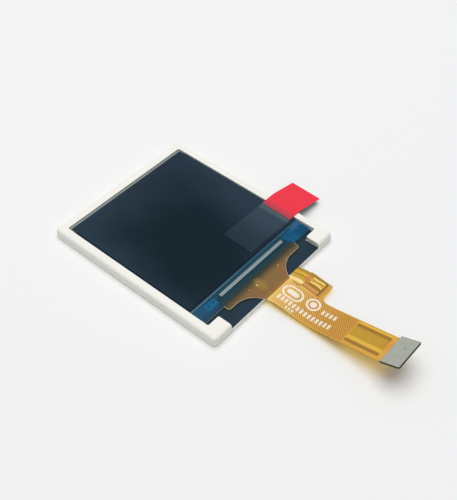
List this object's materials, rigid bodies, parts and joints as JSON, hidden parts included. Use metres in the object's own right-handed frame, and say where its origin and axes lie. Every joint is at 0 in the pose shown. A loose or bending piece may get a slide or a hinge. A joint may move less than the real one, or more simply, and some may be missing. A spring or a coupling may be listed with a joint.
{
  "type": "small lcd screen module",
  "caption": "Small square display module: moulded white backlight frame, glass display cell with a driver chip on its ledge, amber flexible circuit with a plug end, and a pull tab.",
  "frame": {"origin": "middle of the flat back of the backlight frame", "axes": "+Z out of the screen, +Y to the top of the picture, away from the flexible circuit; +X across the screen, to the side that the pull tab overhangs"},
  "size_m": [0.0326, 0.0536, 0.0044],
  "materials": {
    "frame_white": "moulded, fine satin, slightly warm white",
    "reflector_film": "white reflective film",
    "clear_plate": "polished clear acrylic",
    "optical_film": "fine ribbed clear film",
    "led_housing": "white housing with a pale yellow window",
    "black_tape": "dark blue-grey tape, satin",
    "backlight_circuit": "amber film with a white overlay",
    "solder": "bright, rounded",
    "polariser": "dark, glossy",
    "display_glass": "thin, polished, cut edges",
    "clear_film": "clear film",
    "chip_silicon": "grey, ground back of a bare chip",
    "blue_sealant": "blue, glossy, uneven",
    "bond_film": "amber adhesive film",
    "amber_film": "amber polyimide, satin",
    "copper": "rolled copper",
    "gold_contact": "gold plated",
    "stiffener_grey": "grey board, satin",
    "red_film": "red film, satin"
  },
  "bodies": {
    "root": {"backlight_frame": "frame_white", "reflector_sheet": "reflector_film", "light_guide": "clear_plate", "diffuser_sheet": "optical_film", "lower_prism_sheet": "optical_film", "upper_prism_sheet": "optical_film", "led_1": "led_housing", "led_2": "led_housing", "led_3": "led_housing", "led_flex_tape": "black_tape", "led_flex": "backlight_circuit", "solder_joint_1": "solder", "solder_joint_2": "solder", "shading_tape": "black_tape", "rear_polariser": "polariser", "array_glass": "display_glass", "colour_filter_glass": "display_glass", "front_polariser": "polariser", "protective_film": "clear_film", "driver_chip": "chip_silicon", "ledge_sealant": "blue_sealant", "bond_film": "bond_film", "flex_base": "amber_film", "flex_cover": "amber_film", "flex_back_cover": "amber_film", "copper_traces": "copper", "contact_fingers": "gold_contact", "end_stiffener": "stiffener_grey", "tab_tape": "clear_film", "pull_tab": "red_film"}
  },
  "joints": []
}
